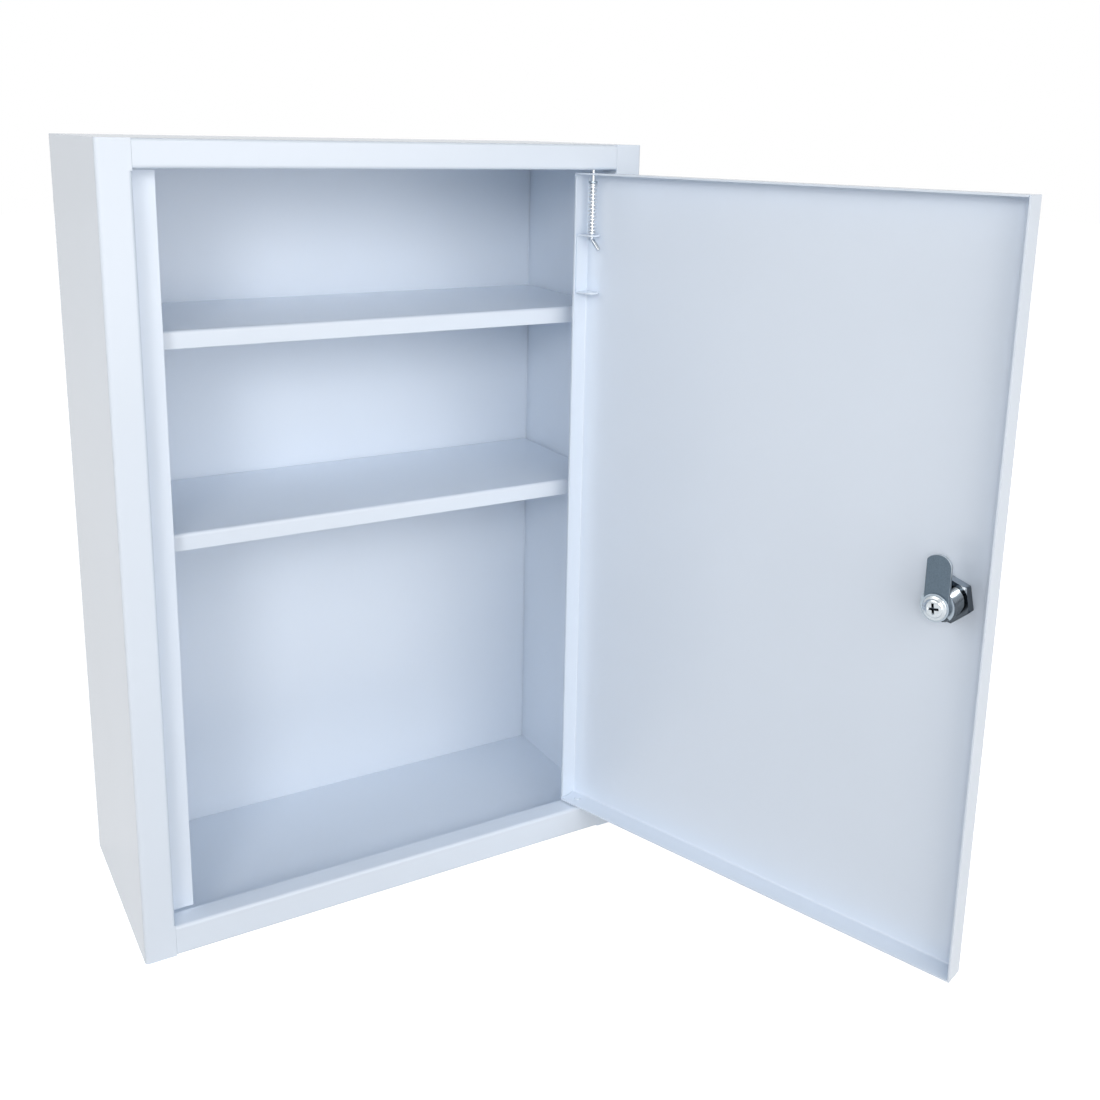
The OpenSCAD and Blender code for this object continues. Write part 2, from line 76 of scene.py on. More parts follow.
for leftover in list(bpy.data.objects):
    bpy.data.objects.remove(leftover)

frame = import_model()

MM = 0.001

# Points closer than the first are one point, and faces that turn less than the second are one face.
SAME_POINT = 1e-6
SAME_PLANE = math.radians(0.2)

# Most values of a noise lie between these two.
NOISE_LOW, NOISE_HIGH = 0.3, 0.7

COATED_NODES = [
    "side_panel_left", "side_panel_right", "top_panel", "bottom_panel", "back_panel",
    "support_upper_left", "support_upper_right", "support_lower_left", "support_lower_right",
    "shelf_upper", "shelf_lower", "lower_hinge_pin", "door_panel", "pin_bracket",
]
ZINC_NODES = [
    "lower_hinge_washer", "pin_collar", "lock_washer", "lock_stop_plate", "cam_washer",
]


def linear(code):
    """Turns an sRGB hex colour into linear red, green and blue."""
    parts = [int(code[i:i + 2], 16) / 255 for i in (1, 3, 5)]
    return tuple(c / 12.92 if c <= 0.04045 else ((c + 0.055) / 1.055) ** 2.4 for c in parts)


def joint(name):
    """The joint of that name in the frame."""
    return next(j for j in frame["joints"] if j["name"] == name)


# ---- Settings -----------------------------------------------------------------------------

def length(name, description, millimetres, **more):
    """A length property whose default is given in millimetres."""
    return FloatProperty(
        name=name, description=description, default=millimetres * MM, min=0,
        unit="LENGTH", subtype="DISTANCE", precision=5, **more,
    )


def colour(name, description, code):
    """A colour property whose default is an sRGB hex value."""
    return FloatVectorProperty(
        name=name, description=description, default=linear(code), min=0, max=1,
        size=3, subtype="COLOR",
    )


def share(name, description, default):
    """A property from 0 to 1."""
    return FloatProperty(
        name=name, description=description, default=default, min=0, max=1, subtype="FACTOR",
    )


def power(name, description, watts):
    """A lamp's power."""
    return FloatProperty(name=name, description=description, default=watts, min=0, unit="POWER")


class SheetSettings(PropertyGroup):
    coat: colour("Coat colour", "Colour of the powder coat", "#E7F1FD")
    coat_roughness: share("Coat roughness", "Satin of the powder coat", 0.25)
    peel: length("Orange peel", "Distance between the coat's soft bumps", 1.7)
    peel_height: length("Orange peel height", "Height of those bumps", 0.0012)
    edge: length("Edge radius", "Radius that the coat gives a cut edge", 0.18)


class HingeSettings(PropertyGroup):
    zinc: colour("Zinc colour", "Colour of bright zinc plate", "#C9CED3")
    dull_zinc: colour("Dull zinc colour", "Colour of the washers' dulled zinc", "#A9B5BF")
    wire: colour("Wire colour", "Colour of the plated spring wire", "#F0F2F4")
    wire_width: length("Wire diameter", "Diameter of the spring's wire", 1)
    coil_turns: IntProperty(name="Turns", description="Turns of the spring", default=15, min=4)
    pin_width: length("Pin diameter", "Diameter of the sprung pin", 2.5)
    bend: length("Bend radius", "Radius of the finger pull's bend, at the pin's centre", 3)
    pull_turn: FloatProperty(
        name="Finger pull", description="Angle between the finger pull and the pin",
        default=math.radians(42), min=0, max=math.radians(80), subtype="ANGLE")


class LockSettings(PropertyGroup):
    nickel: colour("Nickel colour", "Colour of the polished nickel plate", "#CDD1D4")
    # Barrel and nut: the lit colour above, and a darker copy below that is painted shade.
    lit_nickel: colour("Wiped nickel colour", "Colour of the barrel and nut above", "#A9B1B8")
    painted_shade_nickel: colour("Greased nickel colour", "Colour of the barrel and nut below", "#4E555C")
    shade: colour("Recess colour", "Colour deep in the screw's recess", "#3C444B")
    # The cam colour is painted shade, and the cam edge colour is a painted highlight.
    steel: colour("Cam colour", "Colour of the dark cam", "#5F6D79")
    cam_edge_highlight: colour("Cam edge colour", "Colour of the cam's sheared, worn edges", "#C3CAD0")
    brass: colour("Brass colour", "Colour of the wafers", "#D9B36A")
    thread_pitch: length("Thread pitch", "Pitch of the barrel's thread", 1.25)
    thread_depth: length("Thread depth", "Depth of the barrel's thread", 0.65)
    barrel: length("Barrel diameter", "Diameter over the thread", 18.5)
    flats: length("Barrel flats", "Width across the barrel's two flats", 16)
    bezel: length("Bezel diameter", "Diameter of the bezel on the door's face", 23)
    plug: length("Plug diameter", "Diameter of the plug", 13)
    screw_head: length("Screw head", "Diameter of the cam screw's head", 13.2)
    screw: colour("Screw colour", "Colour of the cam screw", "#C6CDD2")
    recess: length("Recess width", "Length of the crossed recess", 7.2)


class StageSettings(PropertyGroup):
    floor: colour("Floor colour", "Colour of the floor", "#C0C0C0")
    camera_place: FloatVectorProperty(
        name="Camera place", description="Where the camera stands", size=3, unit="LENGTH",
        subtype="TRANSLATION", default=(-0.273447, -0.712709, 0.468), precision=5)
    camera_turn: FloatVectorProperty(
        name="Camera turn", description="The camera's rotation", size=3, unit="ROTATION",
        subtype="EULER", precision=4,
        default=(math.radians(76.911), math.radians(-1.19974), math.radians(-30.42883)))
    lens: FloatProperty(
        name="Lens", description="Focal length on a 36 mm sensor", default=40.28528,
        min=10, unit="CAMERA")
    shift: FloatVectorProperty(
        name="Lens shift", description="Sideways and upward shift of the lens", size=2,
        default=(-0.011923, -0.121549))
    room_light: FloatProperty(
        name="Room light", description="Strength of the even light from all round", default=0.15,
        min=0)
    side_power: power("Side light", "Power of the soft light at the left", 5.4)
    near_power: power("Near light", "Power of the soft light beside the camera", 6.9)
    front_power: power("Front light", "Power of the soft light in front", 16.4)
    back_power: power("Back light", "Power of the soft light behind, at the right", 14)
    lamp_colour: FloatVectorProperty(
        name="Lamp colour", description="Colour of the soft lights", size=3, min=0, max=2,
        subtype="COLOR", default=(1.05, 1.017, 0.99))


# ---- Node and mesh tools ------------------------------------------------------------------

def add_node(tree, kind, settings=None, values=None, links=None, stops=()):
    """Adds a node with its own settings, input values, links from (node, output) and ramp stops."""
    made = tree.nodes.new(kind)
    for name, value in (settings or {}).items():
        setattr(made, name, value)
    for socket, value in (values or {}).items():
        made.inputs[socket].default_value = value
    for socket, (source, output) in (links or {}).items():
        tree.links.new(source.outputs[output], made.inputs[socket])
    for index, (at, rgb) in enumerate(stops):
        made.color_ramp.elements[index].position = at
        made.color_ramp.elements[index].color = (*rgb, 1)
    return made


def blank_finish(name, **sockets):
    """A material with one Principled shader, and the place of each point on its piece."""
    finish = bpy.data.materials.new(name)
    finish.use_nodes = True
    tree = finish.node_tree
    tree.nodes.clear()
    skin = add_node(tree, "ShaderNodeBsdfPrincipled", values=sockets)
    add_node(tree, "ShaderNodeOutputMaterial", links={"Surface": (skin, "BSDF")})
    place = add_node(tree, "ShaderNodeTexCoord")
    return finish, tree, skin, place


def shaded(rgb, factor):
    """A colour made lighter or darker."""
    return tuple(min(1.0, c * factor) for c in rgb)


def new_piece(name, mesh, finish, body, replaced, crease=35):
    """Puts a mesh in the scene as a piece that rides on a body and stands for CAD nodes."""
    mesh.polygons.foreach_set("use_smooth", [True] * len(mesh.polygons))
    mesh.set_sharp_from_angle(angle=math.radians(crease))
    piece = bpy.data.objects.new(name, mesh)
    bpy.context.scene.collection.objects.link(piece)
    mesh.materials.clear()
    mesh.materials.append(finish)
    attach(piece, body)
    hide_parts(*replaced)
    return piece


def mesh_of(name, points, faces, place):
    """A mesh from points in millimetres, set in place by a matrix in metres."""
    mesh = bpy.data.meshes.new(name)
    mesh.from_pydata([place @ (Vector(p) * MM) for p in points], [], faces)
    shape = bmesh.new()
    shape.from_mesh(mesh)
    bmesh.ops.recalc_face_normals(shape, faces=shape.faces)
    shape.to_mesh(mesh)
    shape.free()
    return mesh


def turned(profile, steps):
    """Points and faces of a profile of (radius, height) turned about Z; a radius of 0 is a pole."""
    points, rings, faces = [], [], []
    for radius, height in profile:
        if radius == 0:
            rings.append([len(points)])
            points.append((0, 0, height))
            continue
        rings.append(list(range(len(points), len(points) + steps)))
        points += [(radius * math.cos(math.tau * i / steps), radius * math.sin(math.tau * i / steps),
                    height) for i in range(steps)]
    for low, high in zip(rings, rings[1:]):
        for i in range(steps):
            j = (i + 1) % steps
            corners = [low[i % len(low)], low[j % len(low)], high[j % len(high)], high[i % len(high)]]
            faces.append(list(dict.fromkeys(corners)))
    return points, faces


def swept(path, radius, sides):
    """Points and faces of a round rod along a path, with closed ends."""
    path = [Vector(p) for p in path]
    points, faces = [], []
    side = Vector((1, 0, 0))
    for i, here in enumerate(path):
        along = (path[min(i + 1, len(path) - 1)] - path[max(i - 1, 0)]).normalized()
        side = (side - along * side.dot(along)).normalized()
        other = along.cross(side)
        for k in range(sides):
            turn = math.tau * k / sides
            points.append(here + radius * (math.cos(turn) * side + math.sin(turn) * other))
    for i in range(len(path) - 1):
        for k in range(sides):
            n = (k + 1) % sides
            faces.append([i * sides + k, i * sides + n, (i + 1) * sides + n, (i + 1) * sides + k])
    last = (len(path) - 1) * sides
    faces.append(list(range(sides)))
    faces.append(list(range(last, last + sides)))
    return points, faces


def combine(piece, tool, operation):
    """Joins a tool to a mesh object or cuts it away, and deletes the tool."""
    step = piece.modifiers.new("shape", "BOOLEAN")
    step.operation = operation
    step.solver = "EXACT"
    step.object = tool
    bpy.context.view_layer.update()
    result = bpy.data.meshes.new_from_object(
        piece.evaluated_get(bpy.context.evaluated_depsgraph_get()))
    piece.modifiers.remove(step)
    before = piece.data
    piece.data = result
    bpy.data.meshes.remove(before)
    bpy.data.objects.remove(tool)


def loose_object(name, mesh):
    """An object that only shapes another one."""
    tool = bpy.data.objects.new(name, mesh)
    bpy.context.scene.collection.objects.link(tool)
    return tool


def round_edges(piece, radius, angle=40):
    """Rounds a piece's sharp edges, given in degrees, without touching its mesh."""
    weld = piece.modifiers.new("weld", "WELD")
    weld.merge_threshold = SAME_POINT
    flat = piece.modifiers.new("flat", "DECIMATE")
    flat.decimate_type = "DISSOLVE"
    flat.angle_limit = SAME_PLANE
    edge = piece.modifiers.new("edge", "BEVEL")
    edge.width = radius
    edge.segments = 2
    edge.limit_method = "ANGLE"
    edge.angle_limit = math.radians(angle)
    piece.modifiers.new("shade", "WEIGHTED_NORMAL")


def put_on(node_name, finish):
    """Gives a CAD node a finish."""
    node = frame["nodes"][node_name]
    if not node.material_slots:
        node.data.materials.append(finish)
    for slot in node.material_slots:
        slot.material = finish
    return node


# ---- Finishes -----------------------------------------------------------------------------

def polyester_powder_coat(settings):
    # Polyester powder, sprayed on folded steel and baked: a satin white skin with a cool cast,
    # a shallow orange peel that softens the sheen, and slow, faint changes of thickness.
    finish, tree, skin, place = blank_finish(
        "polyester_powder_coat", IOR=1.5, Roughness=settings.coat_roughness)
    cloud_width, thin, thick = 70 * MM, 0.985, 1.01
    clouds = add_node(tree, "ShaderNodeTexNoise", values={"Scale": 1 / cloud_width, "Detail": 1},
                      links={"Vector": (place, "Object")})
    tone = add_node(tree, "ShaderNodeValToRGB", links={"Fac": (clouds, "Fac")}, stops=[
        (0.1, shaded(settings.coat, thin)), (0.9, shaded(settings.coat, thick))])
    peel = add_node(tree, "ShaderNodeTexNoise", values={"Scale": 1 / settings.peel, "Detail": 1},
                    links={"Vector": (place, "Object")})
    bumps = add_node(tree, "ShaderNodeBump", values={"Strength": 1, "Distance": settings.peel_height},
                     links={"Height": (peel, "Fac")})
    tree.links.new(tone.outputs["Color"], skin.inputs["Base Color"])
    tree.links.new(bumps.outputs["Normal"], skin.inputs["Normal"])
    return finish


def plate(name, rgb, cloud_width, rough, mark_width, mark_height, stretch=(1, 1, 1)):
    """A plated metal: clouds in its tone and gloss, and fine marks, with the sizes in millimetres."""
    finish, tree, skin, place = blank_finish(name, Metallic=1.0)
    dull, bright = 0.9, 1.05
    clouds = add_node(tree, "ShaderNodeTexNoise", values={"Scale": 1 / (cloud_width * MM), "Detail": 2},
                      links={"Vector": (place, "Object")})
    tone = add_node(tree, "ShaderNodeValToRGB", links={"Fac": (clouds, "Fac")}, stops=[
        (NOISE_LOW, shaded(rgb, dull)), (NOISE_HIGH, shaded(rgb, bright))])
    gloss = add_node(tree, "ShaderNodeMapRange", links={"Value": (clouds, "Fac")}, values={
        "From Min": NOISE_LOW, "From Max": NOISE_HIGH, "To Min": rough[0], "To Max": rough[1]})
    drawn = add_node(tree, "ShaderNodeMapping", values={"Scale": stretch},
                     links={"Vector": (place, "Object")})
    marks = add_node(tree, "ShaderNodeTexNoise", values={"Scale": 1 / (mark_width * MM), "Detail": 2},
                     links={"Vector": (drawn, "Vector")})
    bumps = add_node(tree, "ShaderNodeBump", values={"Strength": 1, "Distance": mark_height * MM},
                     links={"Height": (marks, "Fac")})
    tree.links.new(tone.outputs["Color"], skin.inputs["Base Color"])
    tree.links.new(gloss.outputs["Result"], skin.inputs["Roughness"])
    tree.links.new(bumps.outputs["Normal"], skin.inputs["Normal"])
    return finish, tree, skin, place, tone


def bright_zinc_plate(settings):
    # Steel rod plated in bright zinc: a grey mirror with a blue breath, cloudy where it was handled.
    # Its drawing marks are finer than 0.1 mm, and are drawn coarser so that they show.
    return plate("bright_zinc_plate", settings.zinc, cloud_width=2.2, rough=(0.16, 0.28),
                 mark_width=0.5, mark_height=0.003)[0]


def dull_zinc_plate(settings):
    # Stamped washers in barrel-plated zinc: even blue-grey, with soft highlights and the dents of
    # tumbling, about 0.4 mm across.
    return plate("dull_zinc_plate", settings.dull_zinc, cloud_width=1.6, rough=(0.28, 0.42),
                 mark_width=0.4, mark_height=0.004)[0]


def drawn_spring_wire(settings):
    # Hard-drawn wire with a thin bright plate: faint streaks and a sharp highlight. The streaks
    # are finer than 0.1 mm, and are drawn coarser so that they show.
    return plate("drawn_spring_wire", settings.wire, cloud_width=1.2, rough=(0.2, 0.32),
                 mark_width=0.5, mark_height=0.002, stretch=(1, 1, 3))[0]


def polished_nickel_plate(settings):
    # Brass under polished nickel: a cool white mirror with hairline polishing marks, which are
    # drawn coarser than they are, so that they show.
    return plate("polished_nickel_plate", settings.nickel, cloud_width=3, rough=(0.1, 0.2),
                 mark_width=0.6, mark_height=0.0012, stretch=(1, 1, 6))[0]


def lock_offset(tree, place):
    """The place of each point from the lock's centre on the door's face."""
    return add_node(tree, "ShaderNodeVectorMath", {"operation": "SUBTRACT"},
                    values={1: lock_place().translation}, links={0: (place, "Object")})


def headed_nickel_plate(settings):
    # A cold-headed screw under thin nickel: grey and glossy, its recess painted dark as painted shade.
    # The marks of the heading die are drawn coarser than they are, so that they show.
    finish, tree, skin, place, tone = plate(
        "headed_nickel_plate", settings.screw, cloud_width=2, rough=(0.16, 0.3),
        mark_width=0.4, mark_height=0.002)
    top = screw_top() * MM
    shade_begins_at, shade_full_at = 0.5 * MM, 1.1 * MM
    recess_reach = 3.9 * MM
    offset = lock_offset(tree, place)
    axis = joint("lock_turn")["axis"]
    depth = add_node(tree, "ShaderNodeVectorMath", {"operation": "DOT_PRODUCT"},
                     values={1: axis}, links={0: (offset, "Vector")})
    beside = add_node(tree, "ShaderNodeVectorMath", {"operation": "CROSS_PRODUCT"},
                      values={1: axis}, links={0: (offset, "Vector")})
    away = add_node(tree, "ShaderNodeVectorMath", {"operation": "LENGTH"}, links={0: (beside, "Vector")})
    deep = add_node(tree, "ShaderNodeMapRange",
                    values={"From Min": shade_begins_at - top, "From Max": shade_full_at - top},
                    links={"Value": (depth, "Value")})
    inside = add_node(tree, "ShaderNodeMapRange",
                      values={"From Min": recess_reach + 0.3 * MM, "From Max": recess_reach},
                      links={"Value": (away, "Value")})
    # Painted shade deep in the recess, fading out towards its rim.
    dark = add_node(tree, "ShaderNodeMath", {"operation": "MULTIPLY"},
                    links={0: (deep, "Result"), 1: (inside, "Result")})
    both = add_node(tree, "ShaderNodeMixRGB", values={"Color2": (*settings.shade, 1)},
                    links={"Fac": (dark, "Value"), "Color1": (tone, "Color")})
    tree.links.new(both.outputs["Color"], skin.inputs["Base Color"])
    return finish


def painted_shade_nickel_plate(settings):
    # Die-cast zinc under thin nickel: glossy and bright on its upper side, and behind the door
    # painted dark on its lower side, a painted shade in a soft, uneven line along the barrel.
    finish, tree, skin, place, tone = plate(
        "painted_shade_nickel_plate", settings.lit_nickel, cloud_width=2.4, rough=(0.12, 0.22),
        mark_width=0.5, mark_height=0.002)
    wave_width, wave_height = 3 * MM, 2.4 * MM
    shade_from, shade_to = 1.6 * MM, 0.4 * MM
    across, up, inward = lock_place().to_3x3().transposed()
    offset = lock_offset(tree, place)
    height = add_node(tree, "ShaderNodeVectorMath", {"operation": "DOT_PRODUCT"},
                      values={1: (up - across).normalized()}, links={0: (offset, "Vector")})
    depth = add_node(tree, "ShaderNodeVectorMath", {"operation": "DOT_PRODUCT"},
                     values={1: inward}, links={0: (offset, "Vector")})
    behind = add_node(tree, "ShaderNodeMapRange", values={"From Min": 0, "From Max": 1 * MM},
                      links={"Value": (depth, "Value")})
    waves = add_node(tree, "ShaderNodeTexNoise", values={"Scale": 1 / wave_width, "Detail": 2},
                     links={"Vector": (place, "Object")})
    uneven = add_node(tree, "ShaderNodeMath", {"operation": "MULTIPLY_ADD"}, values={1: wave_height},
                      links={0: (waves, "Fac"), 2: (height, "Value")})
    low = add_node(tree, "ShaderNodeMapRange", values={"From Min": shade_from, "From Max": shade_to},
                   links={"Value": (uneven, "Value")})
    # Painted shade on the lower side, behind the door's face only.
    painted_shade = add_node(tree, "ShaderNodeMath", {"operation": "MULTIPLY"},
                       links={0: (low, "Result"), 1: (behind, "Result")})
    both = add_node(tree, "ShaderNodeMixRGB", values={"Color2": (*settings.painted_shade_nickel, 1)},
                    links={"Fac": (painted_shade, "Value"), "Color1": (tone, "Color")})
    tree.links.new(both.outputs["Color"], skin.inputs["Base Color"])
    return finish


def steel_with_painted_shade_and_highlight(settings):
    # Stamped steel, zinc plated, in a dark blue-grey that is painted shade: matt, with a fine grain of
    # the tumbled surface, a little lighter where the grain stands proud, and a painted highlight along
    # the sheared edges, which turn away from the lock's axis, strongest at the tip.
    finish, tree, skin, place = blank_finish("steel_with_painted_shade_and_highlight", Metallic=1.0)
    speck_width, speck_height, hollow, proud = 0.55 * MM, 0.008 * MM, 0.85, 1.15
    face_facing, edge_facing = 0.96, 0.6
    tip_from, tip_to = 17 * MM, 21 * MM
    specks = add_node(tree, "ShaderNodeTexNoise", values={"Scale": 1 / speck_width, "Detail": 3},
                      links={"Vector": (place, "Object")})
    tone = add_node(tree, "ShaderNodeValToRGB", links={"Fac": (specks, "Fac")}, stops=[
        (0.32, shaded(settings.steel, hollow)), (0.68, shaded(settings.steel, proud))])
    facing = add_node(tree, "ShaderNodeVectorMath", {"operation": "DOT_PRODUCT"},
                      values={1: joint("lock_turn")["axis"]}, links={0: (place, "Normal")})
    even = add_node(tree, "ShaderNodeMath", {"operation": "ABSOLUTE"}, links={0: (facing, "Value")})
    sheared = add_node(tree, "ShaderNodeMapRange", links={"Value": (even, "Value")}, values={
        "From Min": face_facing, "From Max": edge_facing, "To Min": 0, "To Max": 1})
    height = add_node(tree, "ShaderNodeSeparateXYZ", links={0: (lock_offset(tree, place), "Vector")})
    tip = add_node(tree, "ShaderNodeMapRange", links={"Value": (height, "Z")}, values={
        "From Min": tip_from, "From Max": tip_to, "To Min": 0.3, "To Max": 1})
    # Painted highlight on the edges, strongest at the tip.
    painted_highlight = add_node(tree, "ShaderNodeMath", {"operation": "MULTIPLY"},
                      links={0: (sheared, "Result"), 1: (tip, "Result")})
    both = add_node(tree, "ShaderNodeMixRGB", values={"Color2": (*settings.cam_edge_highlight, 1)},
                    links={"Fac": (painted_highlight, "Value"), "Color1": (tone, "Color")})
    gloss = add_node(tree, "ShaderNodeMapRange", links={"Value": (specks, "Fac")}, values={
        "From Min": NOISE_LOW, "From Max": NOISE_HIGH, "To Min": 0.36, "To Max": 0.52})
    bumps = add_node(tree, "ShaderNodeBump", values={"Strength": 1, "Distance": speck_height},
                     links={"Height": (specks, "Fac")})
    tree.links.new(both.outputs["Color"], skin.inputs["Base Color"])
    tree.links.new(gloss.outputs["Result"], skin.inputs["Roughness"])
    tree.links.new(bumps.outputs["Normal"], skin.inputs["Normal"])
    return finish


def stamped_brass(settings):
    # Thin brass blanked in a press: yellow, with a fine rolled grain and dull cut edges.
    finish, tree, skin, place = blank_finish("stamped_brass", Metallic=1.0)
    grain_width, grain_stretch, dull, bright = 0.4 * MM, (1, 1, 8), 0.85, 1.05
    drawn = add_node(tree, "ShaderNodeMapping", values={"Scale": grain_stretch},
                     links={"Vector": (place, "Object")})
    rolled = add_node(tree, "ShaderNodeTexNoise", values={"Scale": 1 / grain_width, "Detail": 2},
                      links={"Vector": (drawn, "Vector")})
    tone = add_node(tree, "ShaderNodeValToRGB", links={"Fac": (rolled, "Fac")}, stops=[
        (NOISE_LOW, shaded(settings.brass, dull)), (NOISE_HIGH, shaded(settings.brass, bright))])
    gloss = add_node(tree, "ShaderNodeMapRange", links={"Value": (rolled, "Fac")}, values={
        "From Min": NOISE_LOW, "From Max": NOISE_HIGH, "To Min": 0.26, "To Max": 0.4})
    tree.links.new(tone.outputs["Color"], skin.inputs["Base Color"])
    tree.links.new(gloss.outputs["Result"], skin.inputs["Roughness"])
    return finish


FINISHES = {}


def finish_named(maker, settings):
    """Makes a finish once, and gives the same one after that."""
    if maker.__name__ not in FINISHES:
        FINISHES[maker.__name__] = maker(settings)
    return FINISHES[maker.__name__]


# ---- Where the door's hardware is ---------------------------------------------------------

def lock_place():
    """The lock's own axes: Z into the cabinet, Y up, X to the door's free side, 0 at its face."""
    turn = joint("lock_turn")
    inward = -Vector(turn["axis"]).normalized()
    up = Vector((0, 0, 1))
    across = up.cross(inward)
    spin = Matrix((across, up, inward)).transposed().to_4x4()
    return Matrix.Translation(Vector(turn["pos_m"])) @ spin


def pin_place():
    """The hinge pin's own axes: Z up along the pin, X to the door's hinge side, 0 at the base."""
    at = Vector(joint("door_hinge")["pos_m"])
    across, up, inward = lock_place().to_3x3().transposed()
    spin = Matrix((-across, -inward, up)).transposed().to_4x4()
    return Matrix.Translation((at.x, at.y, 0)) @ spin


def node_heights(name):
    """A node's lowest and highest point in millimetres."""
    low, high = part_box(name)
    return low.z / MM, high.z / MM


def screw_top():
    """How far the cam screw's head stands from the door's face, in millimetres."""
    place = lock_place().inverted()
    return max((place @ v.co).z for v in frame["nodes"]["cam_screw"].data.vertices) / MM


# ---- Pieces -------------------------------------------------------------------------------

class CABINET_OT_coat_sheet(Operator):
    """Powder-coats the sheet parts and the lower hinge pin, and softens their cut edges"""
    bl_idname = "cabinet.coat_sheet"
    bl_label = "Coat sheet parts"

    def execute(self, context):
        settings = context.scene.cabinet_sheet
        coat = finish_named(polyester_powder_coat, settings)
        for name in COATED_NODES:
            round_edges(put_on(name, coat), settings.edge)
        return {"FINISHED"}


class CABINET_OT_plate_fittings(Operator):
    """Gives the washers, the nut, the plug, the key, the cam and the wafers their finishes"""
    bl_idname = "cabinet.plate_fittings"
    bl_label = "Plate fittings"

    def execute(self, context):
        lock = context.scene.cabinet_lock
        zinc = finish_named(dull_zinc_plate, context.scene.cabinet_hinge)
        nickel = finish_named(polished_nickel_plate, lock)
        for name in ZINC_NODES:
            round_edges(put_on(name, zinc), radius=0.12 * MM)
        nut = put_on("lock_nut", finish_named(painted_shade_nickel_plate, lock))
        round_edges(nut, radius=0.2 * MM, angle=25)
        round_edges(put_on("lock_plug", nickel), radius=0.12 * MM)
        round_edges(put_on("key", nickel), radius=0.25 * MM, angle=25)
        cam = put_on("lock_cam", finish_named(steel_with_painted_shade_and_highlight, lock))
        round_edges(cam, radius=0.3 * MM)
        put_on("lock_wafers", finish_named(stamped_brass, lock))
        put_on("wafer_springs", finish_named(drawn_spring_wire, context.scene.cabinet_hinge))
        return {"FINISHED"}


class CABINET_OT_wind_spring(Operator):
    """Winds the hinge pin's compression spring"""
    bl_idname = "cabinet.wind_spring"
    bl_label = "Wind spring"

    def execute(self, context):
        settings = context.scene.cabinet_hinge
        steps_per_turn, wire_sides = 44, 14
        wire = settings.wire_width / MM
        turns = settings.coil_turns
        low, high = node_heights("pin_spring")
        box_low, box_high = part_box("pin_spring")
        mean = ((box_high.x - box_low.x) / MM - wire) / 2
        climb = high - low - wire

        def height(turn):
            """How far the wire has climbed: the first and last turns lie closed."""
            if turn < 1:
                return wire * turn
            if turn > turns - 1:
                return climb - wire * (turns - turn)
            return wire + (climb - 2 * wire) * (turn - 1) / (turns - 2)

        path = []
        for i in range(turns * steps_per_turn + 1):
            turn = i / steps_per_turn
            angle = math.tau * turn
            path.append((mean * math.cos(angle), mean * math.sin(angle),
                         low + wire / 2 + height(turn)))
        points, faces = swept(path, wire / 2, wire_sides)
        mesh = mesh_of("hinge_spring_coil", points, faces, pin_place())
        coil = new_piece("hinge_spring_coil", mesh, finish_named(drawn_spring_wire, settings), "door",
                         ["pin_spring"])
        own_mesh(coil)
        return {"FINISHED"}


class CABINET_OT_bend_pin(Operator):
    """Makes the sprung hinge pin with its bent finger pull"""
    bl_idname = "cabinet.bend_pin"
    bl_label = "Bend hinge pin"

    def execute(self, context):
        settings = context.scene.cabinet_hinge
        sheet, bend_drop, chamfer = 1, 1.5, 0.6
        rod_sides, straight_steps, bend_steps = 32, 12, 8
        radius = settings.pin_width / MM / 2
        turn = settings.pull_turn
        bend = settings.bend / MM
        low, high = node_heights("hinge_pin")
        ear_low = node_heights("pin_bracket")[1] - sheet
        corner = ear_low - bend_drop
        start = corner + bend * math.tan(turn / 2)
        shoulder = high - chamfer
        path = [(0, 0, high), (0, 0, high - 0.05), (0, 0, shoulder)]
        for i in range(1, straight_steps + 1):
            path.append((0, 0, shoulder - (shoulder - start) * i / straight_steps))
        for i in range(1, bend_steps + 1):
            a = turn * i / bend_steps
            path.append((-bend * (1 - math.cos(a)), 0, start - bend * math.sin(a)))
        end_x, _, end_z = path[-1]
        reach = (corner - low - radius * math.sin(turn)) / math.cos(turn)
        run = reach - bend * math.tan(turn / 2)
        for part in (0.5, 0.94, 0.995, 1):
            path.append((end_x - math.sin(turn) * run * part, 0, end_z - math.cos(turn) * run * part))
        points, faces = swept(path, radius, rod_sides)
        last = len(path) - 1
        for ring, scale in ((0, 0.6), (1, 0.66), (last, 0.6), (last - 1, 0.75)):
            centre = Vector(path[ring])
            for k in range(ring * rod_sides, (ring + 1) * rod_sides):
                points[k] = centre + (points[k] - centre) * scale
        mesh = mesh_of("sprung_pin_rod", points, faces, pin_place())
        new_piece("sprung_pin_rod", mesh, finish_named(bright_zinc_plate, settings), "sprung_pin",
                  ["hinge_pin"])
        return {"FINISHED"}


